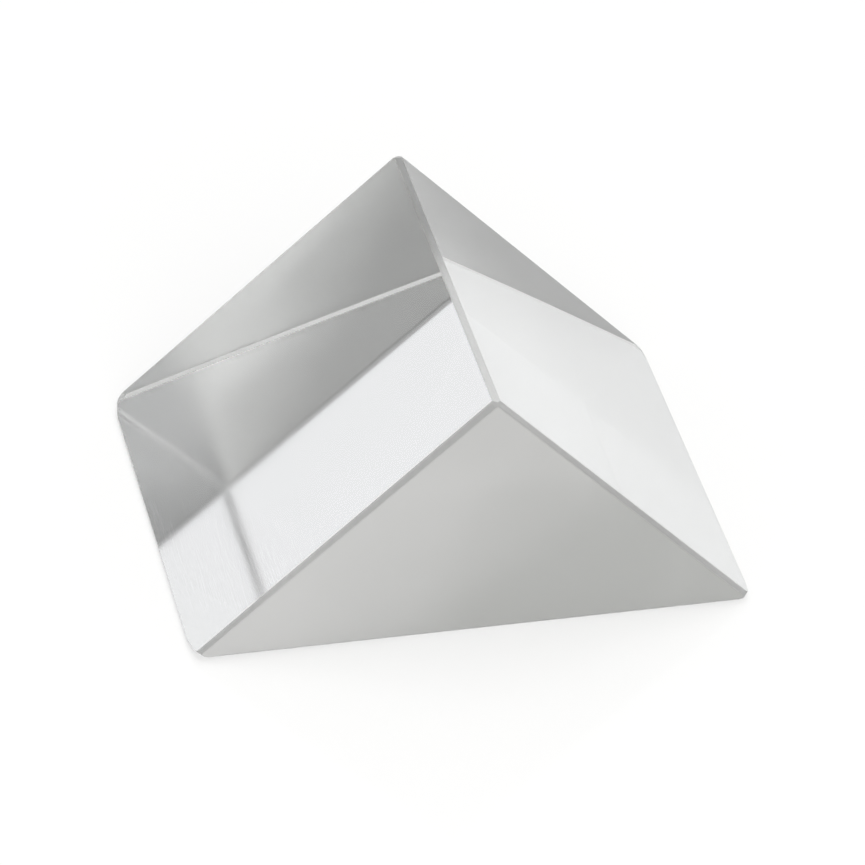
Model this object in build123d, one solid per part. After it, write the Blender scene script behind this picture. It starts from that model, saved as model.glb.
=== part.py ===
from build123d import *
import math
import os

# Right-angle reflecting prism: one solid block of crown glass.
# Two polished leg faces meet at the roof edge, the polished hypotenuse face lies underneath,
# and the two triangular ends are fine ground. Every edge and corner is ground off a little,
# so that no sharp glass is left to chip.
#
# Frame: the origin is on the table under the middle of the block, in the hypotenuse face.
# +X runs across the hypotenuse, +Y along the prism and +Z up to the roof edge.

# Driving dimensions, in millimetres and degrees
leg_width = 50.0  # across each polished leg face, measured to the sharp edges of the blank
prism_length = 50.0  # from one ground end face to the other
roof_angle = 90.0  # between the two leg faces

# Ground-off edges: the setback is how far the flat reaches into each of its two faces
roof_setback = 0.55  # the roof edge, between the leg faces
foot_setback = 0.8  # the two acute edges, between a leg face and the hypotenuse face
end_setback = 0.55  # the six edges round the two end faces

# Ground-off corners: how far the flat lies below the blank's sharp corner
roof_corner_depth = 0.7  # the two corners on the roof edge
foot_corner_depth = 1.3  # the four acute corners, which chip first and are blunted most

# Worked out from the driving dimensions
half_roof = math.radians(roof_angle / 2)
half_base = leg_width * math.sin(half_roof)
roof_height = leg_width * math.cos(half_roof)
half_length = prism_length / 2

# Outward normals of the five main faces
leg_normals = {
    -1: Vector(-math.cos(half_roof), 0, math.sin(half_roof)),
    +1: Vector(math.cos(half_roof), 0, math.sin(half_roof)),
}
base_normal = Vector(0, 0, -1)
end_normals = {-1: Vector(0, -1, 0), +1: Vector(0, 1, 0)}

# Sharp edges and corners of the blank
foot_x = {-1: -half_base, +1: half_base}
end_y = {-1: -half_length, +1: half_length}


def grind_flat(block, normals, sharp_point, depth):
    """Grinds a flat that leans equally on all the named faces, depth below the sharp point."""
    outward = sum(normals, Vector(0, 0, 0)).normalized()
    lap = Plane(origin=sharp_point - outward * depth, z_dir=outward)
    return block.split(lap, keep=Keep.BOTTOM)


def break_edge(block, first_normal, second_normal, point_on_edge, setback):
    """Grinds the protective flat along one straight edge."""
    inner_angle = math.pi - math.radians(first_normal.get_angle(second_normal))
    depth = setback * math.cos(inner_angle / 2)
    return grind_flat(block, [first_normal, second_normal], point_on_edge, depth)


def glass_blank():
    """The sharp-edged triangular block, before its edges are ground."""
    end_outline = Polyline(
        (-half_base, 0),
        (half_base, 0),
        (0, roof_height),
        close=True,
    )
    end_plane = Plane(origin=(0, half_length, 0), x_dir=(1, 0, 0), z_dir=(0, -1, 0))
    return extrude(end_plane * make_face(end_outline), amount=prism_length)


def glass_prism():
    """The finished prism: the blank with nine broken edges and six broken corners."""
    block = glass_blank()

    # Long edges: the roof, then the two acute ones that rest beside the table
    roof_point = Vector(0, 0, roof_height)
    block = break_edge(block, leg_normals[-1], leg_normals[+1], roof_point, roof_setback)
    for side in (-1, +1):
        foot_point = Vector(foot_x[side], 0, 0)
        block = break_edge(block, leg_normals[side], base_normal, foot_point, foot_setback)

    # Edges and corners round each end face
    for end in (-1, +1):
        end_normal = end_normals[end]
        base_point = Vector(0, end_y[end], 0)
        block = break_edge(block, end_normal, base_normal, base_point, end_setback)
        for side in (-1, +1):
            foot_corner = Vector(foot_x[side], end_y[end], 0)
            leg_normal = leg_normals[side]
            block = break_edge(block, end_normal, leg_normal, foot_corner, end_setback)
            foot_faces = [end_normal, leg_normal, base_normal]
            block = grind_flat(block, foot_faces, foot_corner, foot_corner_depth)
        roof_corner = Vector(0, end_y[end], roof_height)
        roof_faces = [end_normal, leg_normals[-1], leg_normals[+1]]
        block = grind_flat(block, roof_faces, roof_corner, roof_corner_depth)
    return block


os.makedirs("parts", exist_ok=True)
export_step(glass_prism(), "parts/glass_prism.step")
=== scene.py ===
import math

import bmesh
import bpy
from mathutils import Matrix, Vector


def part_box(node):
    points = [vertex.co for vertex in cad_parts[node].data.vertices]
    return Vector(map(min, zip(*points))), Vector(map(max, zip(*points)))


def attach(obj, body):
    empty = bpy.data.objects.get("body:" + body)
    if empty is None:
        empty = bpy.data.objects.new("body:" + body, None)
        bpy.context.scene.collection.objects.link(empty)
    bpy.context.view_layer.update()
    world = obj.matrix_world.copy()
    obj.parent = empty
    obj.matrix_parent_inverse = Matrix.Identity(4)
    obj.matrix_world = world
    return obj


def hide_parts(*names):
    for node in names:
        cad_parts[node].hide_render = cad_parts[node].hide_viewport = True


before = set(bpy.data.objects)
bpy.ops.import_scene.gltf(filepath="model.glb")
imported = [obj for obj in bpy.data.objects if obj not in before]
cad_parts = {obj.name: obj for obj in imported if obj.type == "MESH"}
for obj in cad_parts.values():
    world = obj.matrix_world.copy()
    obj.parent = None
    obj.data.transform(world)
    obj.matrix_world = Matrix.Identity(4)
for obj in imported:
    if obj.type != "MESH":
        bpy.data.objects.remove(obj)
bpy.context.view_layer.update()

print("frame loaded:", ", ".join(sorted(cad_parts)))

mm = 0.001  # the scene is in metres, so 5 millimetres is written as 5 * mm
perMm = 1000.0  # turns object coordinates into millimetres, so a pattern's scale is 1 / its size in mm


# Small helpers


def linearColour(hexCode):
    # sRGB hex to the linear values that the shaders work in
    channels = [int(hexCode[i : i + 2], 16) / 255 for i in (1, 3, 5)]
    curve = [c / 12.92 if c <= 0.04045 else ((c + 0.055) / 1.055) ** 2.4 for c in channels]
    return (*curve, 1.0)


def addNode(tree, kind, settings=None, links=None):
    # settings go to a socket by name or number, or else to a property; links are socket to output
    node = tree.nodes.new(kind)
    for name, value in (settings or {}).items():
        if isinstance(name, int) or name in node.inputs:
            node.inputs[name].default_value = value
        else:
            setattr(node, name, value)
    for name, output in (links or {}).items():
        tree.links.new(output, node.inputs[name])
    return node


def newMaterial(name):
    material = bpy.data.materials.new(name)
    material.use_nodes = True
    material.node_tree.nodes.clear()
    return material, material.node_tree


def linkToScene(obj):
    bpy.context.scene.collection.objects.link(obj)
    return obj


# Crown glass

crownGlass = {
    "ior": 1.517,  # borosilicate crown at the yellow line
}

hairLine = {"from": 0.68, "to": 0.76}  # the part of the noise that makes a line; higher leaves fewer lines


def objectInMm(tree):
    place = addNode(tree, "ShaderNodeTexCoord")
    inMm = addNode(tree, "ShaderNodeVectorMath", {"operation": "SCALE", "Scale": perMm},
                   {0: place.outputs["Object"]})
    return inMm.outputs[0]


def fineLines(tree, inMm, line):
    # sparse hair lines: 1 in a line and 0 beside it
    turned = addNode(tree, "ShaderNodeMapping", {
        "vector_type": "TEXTURE",
        "Rotation": [math.radians(angle) for angle in line["turn"]],
        "Scale": (line["wide"], line["long"], line["wide"]),
    }, {"Vector": inMm})
    streaks = addNode(tree, "ShaderNodeTexNoise", {"Scale": 1.0, "Detail": 0.0},
                      {"Vector": turned.outputs[0]})
    lines = addNode(tree, "ShaderNodeMapRange", {"From Min": hairLine["from"], "From Max": hairLine["to"]},
                    {"Value": streaks.outputs[0]})
    return lines.outputs[0]


def loosePits(tree, inMm, grain, roughness):
    # what loose grit leaves: pits, and a roughness that changes a little from pit to pit
    height = addNode(tree, "ShaderNodeTexNoise", {"Scale": 1 / grain["size"], "Detail": grain["detail"]},
                     {"Vector": inMm})
    pits = addNode(tree, "ShaderNodeBump", {"Strength": 1.0, "Distance": grain["depth"] * mm},
                   {"Height": height.outputs[0]})
    matte = addNode(tree, "ShaderNodeMapRange", {
        "To Min": roughness - grain["uneven"], "To Max": roughness + grain["uneven"],
    }, {"Value": height.outputs[0]})
    return pits.outputs[0], matte.outputs[0]


# Polished faces

polishedFaces = {
    # best is the roughness of the polish, wiped is where a cloth has dulled it; sizes and depths in mm
    "legs": {"tint": "#fdfefe", "best": 0.0, "wiped": 0.03, "smearSize": 7.0, "sleekDepth": 0.0004},
    # rougher than a real pitch polish, so that what the base mirrors comes out a little soft
    "base": {"tint": "#fdfefe", "best": 0.07, "wiped": 0.09, "smearSize": 9.0, "sleekDepth": 0.0002},
}
smear = {"detail": 3.0, "distortion": 0.6, "from": 0.45, "to": 0.75}  # from a clear face to a full smear
# mm and degrees; real sleeks are 0.005 mm wide, drawn coarser so that they show
sleek = {"wide": 0.06, "long": 5.0, "turn": (0.0, 0.0, 0.0)}


def polishedCrownGlass(name, opts, finish):
    # crown glass, pitch polished: clear, with sharp refraction, mirror-like total reflection inside,
    # and the faint smears and sleeks that cloth and dust leave
    material, tree = newMaterial(name)
    inMm = objectInMm(tree)
    smears = addNode(tree, "ShaderNodeTexNoise", {
        "Scale": 1 / finish["smearSize"], "Detail": smear["detail"], "Distortion": smear["distortion"],
    }, {"Vector": inMm})
    wiped = addNode(tree, "ShaderNodeMapRange", {
        "From Min": smear["from"], "From Max": smear["to"],
        "To Min": finish["best"], "To Max": finish["wiped"],
    }, {"Value": smears.outputs[0]})
    scored = addNode(tree, "ShaderNodeBump", {
        "Strength": 1.0, "Distance": finish["sleekDepth"] * mm, "invert": True,
    }, {"Height": fineLines(tree, inMm, sleek)})
    glass = addNode(tree, "ShaderNodeBsdfPrincipled", {
        "Base Color": linearColour(finish["tint"]),
        "IOR": opts["ior"],
        "Transmission Weight": 1.0,
    }, {"Roughness": wiped.outputs[0], "Normal": scored.outputs[0]})
    addNode(tree, "ShaderNodeOutputMaterial", links={"Surface": glass.outputs["BSDF"]})
    return material


# Fine-ground faces

groundFaces = {
    # each carries painted light and shade: its haze fades from pale on one side to grey on the other,
    # standing in for how light falls inside the block: direction, middle and width of the fade in mm; clear
    # is the share of the light that goes through with a direction, and it fades along with the tint where
    # the two differ
    "front": {"across": (0.65, 0.0, -0.76), "middle": -9.3, "width": 24.0, "roughness": 0.3,
              "paintedLitHaze": "#d9d9d8", "paintedShadeHaze": "#c4c5c3", "paintedLitClear": 0.3, "paintedShadeClear": 0.3},
    "back": {"across": (1.0, 0.0, 0.0), "middle": -5.0, "width": 34.0, "roughness": 0.3,
             "paintedLitHaze": "#bdbebe", "paintedShadeHaze": "#909190", "paintedLitClear": 0.46, "paintedShadeClear": 0.11},
    "backFlats": {"across": (1.0, 0.0, 0.0), "middle": -12.0, "width": 34.0, "roughness": 0.42,
                  "paintedLitHaze": "#f2f2f1", "paintedShadeHaze": "#9c9c9c", "paintedLitClear": 0.68, "paintedShadeClear": 0.6},
}
shadeFadeWander = {"cloud": 14.0, "detail": 2.0, "gain": 0.4, "wander": 7.0}  # mm; clouds push the border of the painted shade to and fro
# mm; 400 grit leaves pits and scratches 0.02 mm wide, drawn coarser so that they show
lapGrain = {"size": 0.16, "depth": 0.0025, "detail": 2.0, "uneven": 0.03}
lapScratch = {"wide": 0.09, "long": 7.0, "depth": 0.002, "turn": (90.0, 38.0, 0.0)}


def fineGroundCrownGlass(name, opts, lapAndPaintedShade):
    # crown glass, lapped with fine loose grit: a pale matte grey that lets light through but no picture;
    # across each face its tint and clearness go from a painted-light pale side to a painted-shade grey side
    material, tree = newMaterial(name)
    inMm = objectInMm(tree)
    cloud = addNode(tree, "ShaderNodeTexNoise", {
        "Scale": 1 / shadeFadeWander["cloud"], "Detail": shadeFadeWander["detail"], "Roughness": shadeFadeWander["gain"],
    }, {"Vector": inMm})
    wander = addNode(tree, "ShaderNodeMapRange", {"To Min": -shadeFadeWander["wander"], "To Max": shadeFadeWander["wander"]},
                     {"Value": cloud.outputs[0]})
    # painted shade: a fade across the face, with its border pushed about by the clouds, darkens one side and
    # lightens the other
    acrossShade = addNode(tree, "ShaderNodeVectorMath", {"operation": "DOT_PRODUCT", 1: lapAndPaintedShade["across"]}, {0: inMm})
    along = addNode(tree, "ShaderNodeMath", {"operation": "ADD"},
                    {0: acrossShade.outputs["Value"], 1: wander.outputs[0]})
    paintedShadeFade = addNode(tree, "ShaderNodeMapRange", {
        "interpolation_type": "SMOOTHSTEP",
        "From Min": lapAndPaintedShade["middle"] - lapAndPaintedShade["width"] / 2,
        "From Max": lapAndPaintedShade["middle"] + lapAndPaintedShade["width"] / 2,
    }, {"Value": along.outputs[0]})
    tint = addNode(tree, "ShaderNodeMix", {
        "data_type": "RGBA",
        6: linearColour(lapAndPaintedShade["paintedLitHaze"]),
        7: linearColour(lapAndPaintedShade["paintedShadeHaze"]),
    }, {0: paintedShadeFade.outputs[0]})
    pits, matte = loosePits(tree, inMm, lapGrain, lapAndPaintedShade["roughness"])
    scored = addNode(tree, "ShaderNodeBump", {
        "Strength": 1.0, "Distance": lapScratch["depth"] * mm, "invert": True,
    }, {"Height": fineLines(tree, inMm, lapScratch), "Normal": pits})
    glass = addNode(tree, "ShaderNodeBsdfPrincipled", {
        "IOR": opts["ior"], "Transmission Weight": lapAndPaintedShade["paintedLitClear"],
    }, {"Base Color": tint.outputs[2], "Roughness": matte, "Normal": scored.outputs[0]})
    if lapAndPaintedShade["paintedShadeClear"] != lapAndPaintedShade["paintedLitClear"]:  # a share that is the same all over stays on the socket
        clear = addNode(tree, "ShaderNodeMapRange", {"To Min": lapAndPaintedShade["paintedLitClear"], "To Max": lapAndPaintedShade["paintedShadeClear"]},
                        {"Value": paintedShadeFade.outputs[0]})
        tree.links.new(clear.outputs[0], glass.inputs["Transmission Weight"])
    addNode(tree, "ShaderNodeOutputMaterial", links={"Surface": glass.outputs["BSDF"]})
    return material


# Flats ground by hand along the edges and across the corners

handGround = {
    # the roof flat is tinted greyer than the others; clear is as for the ground faces
    "roof": {"tint": "#dededd", "roughness": 0.45, "clear": 0.85},
    "rest": {"tint": "#e9e9e8", "roughness": 0.42, "clear": 0.70},
    "backFoot": {"tint": "#fafaf9", "roughness": 0.45, "clear": 0.50},
}
# mm; 220 grit leaves pits 0.05 mm wide, drawn coarser so that they show
handGrain = {"size": 0.22, "depth": 0.006, "detail": 2.0, "uneven": 0.05}


def handGroundCrownGlass(name, opts, finish):
    # crown glass, edges broken by hand on a flat lap: a narrow pale line, coarser than the ground faces,
    # that glows where light gets behind it
    material, tree = newMaterial(name)
    pits, matte = loosePits(tree, objectInMm(tree), handGrain, finish["roughness"])
    glass = addNode(tree, "ShaderNodeBsdfPrincipled", {
        "Base Color": linearColour(finish["tint"]),
        "IOR": opts["ior"],
        "Transmission Weight": finish["clear"],
    }, {"Roughness": matte, "Normal": pits})
    addNode(tree, "ShaderNodeOutputMaterial", links={"Surface": glass.outputs["BSDF"]})
    return material


finishes = {
    "polishedLegs": polishedCrownGlass("polishedCrownGlassLegs", crownGlass, polishedFaces["legs"]),
    "polishedBase": polishedCrownGlass("polishedCrownGlassBase", crownGlass, polishedFaces["base"]),
    "groundFront": fineGroundCrownGlass("fineGroundCrownGlassFront", crownGlass, groundFaces["front"]),
    "groundBack": fineGroundCrownGlass("fineGroundCrownGlassBack", crownGlass, groundFaces["back"]),
    "flats": handGroundCrownGlass("handGroundCrownGlassFlats", crownGlass, handGround["rest"]),
    "roof": handGroundCrownGlass("handGroundCrownGlassRoof", crownGlass, handGround["roof"]),
    "backFoot": handGroundCrownGlass("handGroundCrownGlassBackFoot", crownGlass, handGround["backFoot"]),
    "backFlats": fineGroundCrownGlass("fineGroundCrownGlassFlats", crownGlass, groundFaces["backFlats"]),
}
slotOf = {finish: slot for slot, finish in enumerate(finishes)}
print("glass finished:", len(finishes), "ways")


# The block: a sharp blank, then its edges and corners ground off by hand, one by one

prismBlock = {
    "footSetback": 0.80 * mm,  # of the CAD block, which sets how long the hypotenuse is
    "edgeSetbacks": {
        # how far each flat reaches into its two faces, at the left or front end and at the other end
        ("left", "right"): (0.60 * mm, 0.55 * mm),
        ("left", "base"): (0.80 * mm, 0.88 * mm),
        ("right", "base"): (0.80 * mm, 0.85 * mm),
        ("front", "left"): (0.38 * mm, 0.60 * mm),
        ("front", "right"): (0.46 * mm, 0.48 * mm),
        ("front", "base"): (0.50 * mm, 0.46 * mm),
        ("back", "left"): (0.44 * mm, 0.50 * mm),
        ("back", "right"): (0.40 * mm, 0.44 * mm),
        ("back", "base"): (0.46 * mm, 0.42 * mm),
    },
    "rounding": 0.10 * mm,  # the borders of each flat, rubbed round on the same lap
    "corners": {
        # depth is below the blank's sharp corner; the foot also slopes off towards the corner, and facing
        # turns the corner flat towards the end, the leg or the base
        ("front", "left"): {"depth": 1.70 * mm, "reach": 3.6 * mm, "lean": 12.0, "facing": (0.5, 1.0, 1.4)},
        ("front", "right"): {"depth": 1.25 * mm, "reach": 3.0 * mm, "lean": 9.0},
        ("front", "roof"): {"depth": 0.54 * mm},
        ("back", "left"): {"depth": 1.75 * mm, "reach": 4.2 * mm, "lean": 12.0},
        ("back", "right"): {"depth": 1.40 * mm, "reach": 3.2 * mm, "lean": 10.0},
        ("back", "roof"): {"depth": 0.60 * mm},
    },
}
faceFinish = {
    "left": "polishedLegs", "right": "polishedLegs", "base": "polishedBase",
    "front": "groundFront", "back": "groundBack",
}
flatFinish = {  # the other flats are all alike
    ("left", "right"): "roof", ("back", "base"): "backFoot",
    ("back", "left"): "backFlats", ("back", "right"): "backFlats",
}
plainFacing = (1.0, 1.0, 1.0)
cutTolerance = 0.0001 * mm  # how near a cut a vertex counts as on it

slope = math.sqrt(0.5)  # the leg faces lean at 45 degrees
outwards = {
    "left": Vector((-slope, 0, slope)),
    "right": Vector((slope, 0, slope)),
    "base": Vector((0, 0, -1)),
    "front": Vector((0, -1, 0)),
    "back": Vector((0, 1, 0)),
}
meetingAt = {"left": ("left", "base"), "right": ("right", "base"), "roof": ("left", "right")}


def grindPlane(bm, point, outward, finish="flats"):
    # cuts away what lies beyond the plane and closes the cut with one ground face
    geometry = bm.verts[:] + bm.edges[:] + bm.faces[:]
    bmesh.ops.bisect_plane(
        bm, geom=geometry, dist=cutTolerance, plane_co=point, plane_no=outward, clear_outer=True
    )
    rim = [edge for edge in bm.edges if edge.is_boundary]
    for face in bmesh.ops.edgeloop_fill(bm, edges=rim)["faces"]:
        face.material_index = slotOf[finish]


def between(*normals):
    return sum(normals, Vector()).normalized()


def squareTo(normal, line):
    # the part of a normal that stands square to a line
    along = line.normalized()
    return (normal - along * normal.dot(along)).normalized()


def intoFace(face, other, edge):
    # the direction that leads from an edge into one of its two faces, square to the edge
    inwards = squareTo(-outwards[other], edge)
    return squareTo(inwards - outwards[face] * inwards.dot(outwards[face]), edge)


def blankCorners(opts):
    # the sharp corners of the blank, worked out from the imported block
    low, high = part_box("glass_prism")
    halfBase = high.x + opts["footSetback"] * slope
    return {
        (end, name): Vector((x, y, z))
        for end, y in (("front", low.y), ("back", high.y))
        for name, x, z in (("left", -halfBase, 0.0), ("right", halfBase, 0.0), ("roof", 0.0, halfBase))
    }


def sharpBlank(bm, corners):
    verts = {key: bm.verts.new(place) for key, place in corners.items()}
    for face, a, b in (("left", "left", "roof"), ("right", "roof", "right"), ("base", "right", "left")):
        ring = [("front", a), ("back", a), ("back", b), ("front", b)]
        bm.faces.new([verts[key] for key in ring]).material_index = slotOf[faceFinish[face]]
    for end, order in (("front", ("left", "roof", "right")), ("back", ("right", "roof", "left"))):
        bm.faces.new([verts[end, name] for name in order]).material_index = slotOf[faceFinish[end]]
    bmesh.ops.recalc_face_normals(bm, faces=bm.faces)


def cornersOnEdge(first, second):
    # the two blank corners that an edge between two faces joins
    if first in ("front", "back"):
        names = {"left": ("left", "roof"), "right": ("right", "roof"), "base": ("left", "right")}[second]
        return [(first, name) for name in names]
    shared = next(name for name, faces in meetingAt.items() if set(faces) == {first, second})
    return [("front", shared), ("back", shared)]


def breakEdge(bm, corners, first, second, setbacks, rounding):
    # a flat along one edge, a little wider at one end than at the other, with both its borders rubbed round
    ends = [corners[key] for key in cornersOnEdge(first, second)]
    edge = ends[1] - ends[0]
    inwards = {first: intoFace(first, second, edge), second: intoFace(second, first, edge)}
    borders = {
        face: [end + inwards[face] * setback for end, setback in zip(ends, setbacks)]
        for face in (first, second)
    }
    flatOut = squareTo(between(outwards[first], outwards[second]), borders[first][1] - borders[first][0])
    finish = flatFinish.get((first, second), "flats")
    grindPlane(bm, borders[first][0], flatOut, finish)
    for face, (start, stop) in borders.items():
        borderOut = squareTo(between(flatOut, outwards[face]), stop - start)
        grindPlane(bm, start + inwards[face] * rounding, borderOut, finish)


def breakCorner(bm, corners, key, shape, rounding):
    # a flat across the corner; at a foot the edge slopes off towards it first
    end, name = key
    faces = [outwards[face] for face in (end, *meetingAt[name])]
    if "reach" in shape:
        lean = math.radians(shape["lean"])
        footOut = between(*faces[1:])
        depth = max(vert.co.dot(footOut) for vert in bm.verts)
        along = corners[key] - outwards[end] * shape["reach"]
        start = along + footOut * (depth - along.dot(footOut))
        grindPlane(bm, start, footOut * math.cos(lean) + outwards[end] * math.sin(lean))
    weights = shape.get("facing", plainFacing)
    straightOut = between(*(normal * weight for normal, weight in zip(faces, weights)))
    grindPlane(bm, corners[key] - straightOut * shape["depth"], straightOut)
    for skipped in range(len(faces)):
        outward = between(straightOut, *(normal for i, normal in enumerate(faces) if i != skipped))
        furthest = max(bm.verts, key=lambda vert: vert.co.dot(outward)).co
        grindPlane(bm, furthest - outward * rounding, outward)


def buildBlock(opts):
    corners = blankCorners(opts)
    bm = bmesh.new()
    sharpBlank(bm, corners)
    for (first, second), setbacks in opts["edgeSetbacks"].items():
        breakEdge(bm, corners, first, second, setbacks, opts["rounding"])
    for key, shape in opts["corners"].items():
        breakCorner(bm, corners, key, shape, opts["rounding"])
    assert all(edge.is_manifold for edge in bm.edges), "the block has an open edge"
    mesh = bpy.data.meshes.new("glassPrism")
    bm.to_mesh(mesh)
    bm.free()
    for material in finishes.values():
        mesh.materials.append(material)
    return linkToScene(bpy.data.objects.new("glassPrism", mesh))


prism = buildBlock(prismBlock)
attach(prism, "root")
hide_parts("glass_prism")
print("block ground:", len(prism.data.polygons), "faces")


# Floor and white surroundings

studio = {
    "white": "#ffffff",
    "floorRadius": 4.0,
    "floorSides": 96,
    "floorGap": 0.1 * mm,  # a hair of air under the block, so that its base reflects as a free face
    "floorColour": "#f7f7f6",
    "floorGloss": 1.0,  # the board's own faint shine
    "floorRoughness": 0.08,
    "whiteShare": 0.5,  # how much of the board's look is plain white rather than lit surface
    "fadeFrom": 0.25,  # metres; beyond it the board runs out into the white backdrop
    "fadeTo": 1.5,
    "backdrop": 1.0,  # how bright the white room looks where the camera sees it, where 1 is white
    "skySeen": 0.8,  # how bright it looks in a reflection or through the glass
    "skyLight": 0.7,  # what it gives as light
}


def shownOrSeenThrough(tree, rays):
    # 1 for rays that look at a thing directly, in a reflection or through glass, and 0 for lighting rays
    shown = addNode(tree, "ShaderNodeMath", {"operation": "MAXIMUM"},
                    {0: rays["Is Camera Ray"], 1: rays["Is Glossy Ray"]})
    both = addNode(tree, "ShaderNodeMath", {"operation": "MAXIMUM"},
                   {0: shown.outputs[0], 1: rays["Is Transmission Ray"]})
    return both.outputs[0]


def satinAcrylicBoard(opts):
    # white acrylic board, cast and left satin: a faint soft reflection under a plain white
    material, tree = newMaterial("satinAcrylicBoard")
    rays = addNode(tree, "ShaderNodeLightPath").outputs
    board = addNode(tree, "ShaderNodeBsdfPrincipled", {
        "Base Color": linearColour(opts["floorColour"]),
        "Roughness": opts["floorRoughness"],
        "Specular IOR Level": opts["floorGloss"],
    })
    white = addNode(tree, "ShaderNodeEmission", {"Color": linearColour(opts["white"]), "Strength": 1.0})
    near = addNode(tree, "ShaderNodeMath", {"operation": "MULTIPLY", 1: opts["whiteShare"]},
                   {0: shownOrSeenThrough(tree, rays)})
    place = addNode(tree, "ShaderNodeTexCoord")
    away = addNode(tree, "ShaderNodeVectorMath", {"operation": "LENGTH"}, {0: place.outputs["Object"]})
    far = addNode(tree, "ShaderNodeMapRange", {
        "interpolation_type": "SMOOTHSTEP", "From Min": opts["fadeFrom"], "From Max": opts["fadeTo"],
    }, {"Value": away.outputs["Value"]})
    sweep = addNode(tree, "ShaderNodeMath", {"operation": "MULTIPLY"},
                    {0: far.outputs[0], 1: rays["Is Camera Ray"]})
    share = addNode(tree, "ShaderNodeMath", {"operation": "MAXIMUM"},
                    {0: near.outputs[0], 1: sweep.outputs[0]})
    mix = addNode(tree, "ShaderNodeMixShader", links={
        0: share.outputs[0], 1: board.outputs[0], 2: white.outputs[0],
    })
    addNode(tree, "ShaderNodeOutputMaterial", links={"Surface": mix.outputs[0]})
    material.cycles.emission_sampling = "NONE"
    return material


def layFloor(opts):
    bm = bmesh.new()
    bmesh.ops.create_circle(bm, cap_ends=True, segments=opts["floorSides"], radius=opts["floorRadius"])
    bmesh.ops.translate(bm, verts=bm.verts, vec=(0, 0, -opts["floorGap"]))
    mesh = bpy.data.meshes.new("whiteFloor")
    bm.to_mesh(mesh)
    bm.free()
    mesh.materials.append(satinAcrylicBoard(opts))
    return linkToScene(bpy.data.objects.new("whiteFloor", mesh))


def lightSky(opts):
    world = bpy.data.worlds.new("whiteStudio")
    bpy.context.scene.world = world
    world.use_nodes = True
    world.cycles.sampling_method = "NONE"
    tree = world.node_tree
    tree.nodes.clear()
    rays = addNode(tree, "ShaderNodeLightPath").outputs
    room = addNode(tree, "ShaderNodeMapRange", {"To Min": opts["skyLight"], "To Max": opts["skySeen"]},
                   {"Value": shownOrSeenThrough(tree, rays)})
    strength = addNode(tree, "ShaderNodeMapRange", {"To Max": opts["backdrop"]},
                       {"Value": rays["Is Camera Ray"], "To Min": room.outputs[0]})
    sky = addNode(tree, "ShaderNodeBackground", {"Color": linearColour(opts["white"])},
                  {"Strength": strength.outputs[0]})
    addNode(tree, "ShaderNodeOutputWorld", links={"Surface": sky.outputs[0]})


layFloor(studio)
lightSky(studio)
print("floor laid, surroundings white")


# Lamps

softboxes = {
    # where each stands as seen from the block: degrees from straight behind towards the right, and degrees
    # up; metres; glow is how bright its cloth looks, where 1 is the white of the surroundings
    "backBox": {"turn": 20.0, "up": 26.0, "away": 1.3, "wide": 2.2, "tall": 1.2,
                "glow": 0.1, "tint": "#f4f4ff"},
    "topBox": {"turn": 0.0, "up": 86.0, "away": 1.3, "wide": 1.0, "tall": 1.0,
               "glow": 1.8, "tint": "#ffffff"},
    "rightBox": {"turn": 174.0, "up": 34.0, "away": 1.3, "wide": 1.4, "tall": 0.9,
                 "glow": 0.95, "tint": "#fffefa"},
    "leftBox": {"turn": 215.0, "up": 32.0, "away": 1.3, "wide": 1.0, "tall": 0.8,
                "glow": 0.5, "tint": "#ffffff"},
}


def addSoftbox(name, opts):
    lamp = bpy.data.lights.new(name, "AREA")
    lamp.shape = "RECTANGLE"
    lamp.size = opts["wide"]
    lamp.size_y = opts["tall"]
    lamp.energy = opts["glow"] * math.pi * opts["wide"] * opts["tall"]
    lamp.color = linearColour(opts["tint"])[:3]
    turn, up = math.radians(opts["turn"]), math.radians(opts["up"])
    towards = Vector((math.sin(turn) * math.cos(up), math.cos(turn) * math.cos(up), math.sin(up)))
    obj = linkToScene(bpy.data.objects.new(name, lamp))
    obj.location = towards * opts["away"]
    obj.rotation_euler = (-towards).to_track_quat("-Z", "Y").to_euler()


for name, opts in softboxes.items():
    addSoftbox(name, opts)
print("lamps set:", ", ".join(softboxes))


# Camera

viewpoint = {
    "target": (-0.9 * mm, -3.2 * mm, 13.4 * mm),
    "distance": 641.4 * mm,
    "heading": 17.012,  # degrees to the left of the prism's own axis
    "elevation": 38.588,
    "roll": 5.054,  # the camera leans, so the base line runs up to the right
    "lens": 219.25,
    "sensor": 36.0,
    "nearest": 0.01,  # metres that the camera sees from and to
    "furthest": 20.0,
}


def placeCamera(opts):
    camera = bpy.data.cameras.new("longLens")
    camera.lens = opts["lens"]
    camera.sensor_width = opts["sensor"]
    camera.clip_start = opts["nearest"]
    camera.clip_end = opts["furthest"]
    obj = linkToScene(bpy.data.objects.new("longLens", camera))
    heading = math.radians(-opts["heading"])
    elevation = math.radians(opts["elevation"])
    back = Vector((
        math.sin(heading) * math.cos(elevation),
        -math.cos(heading) * math.cos(elevation),
        math.sin(elevation),
    ))
    lean = Matrix.Rotation(math.radians(opts["roll"]), 4, "Z")
    facing = (-back).to_track_quat("-Z", "Y").to_matrix().to_4x4()
    obj.matrix_world = Matrix.Translation(Vector(opts["target"]) + back * opts["distance"]) @ facing @ lean
    bpy.context.scene.camera = obj


placeCamera(viewpoint)
bpy.context.scene.view_settings.view_transform = "Standard"
print("camera placed")
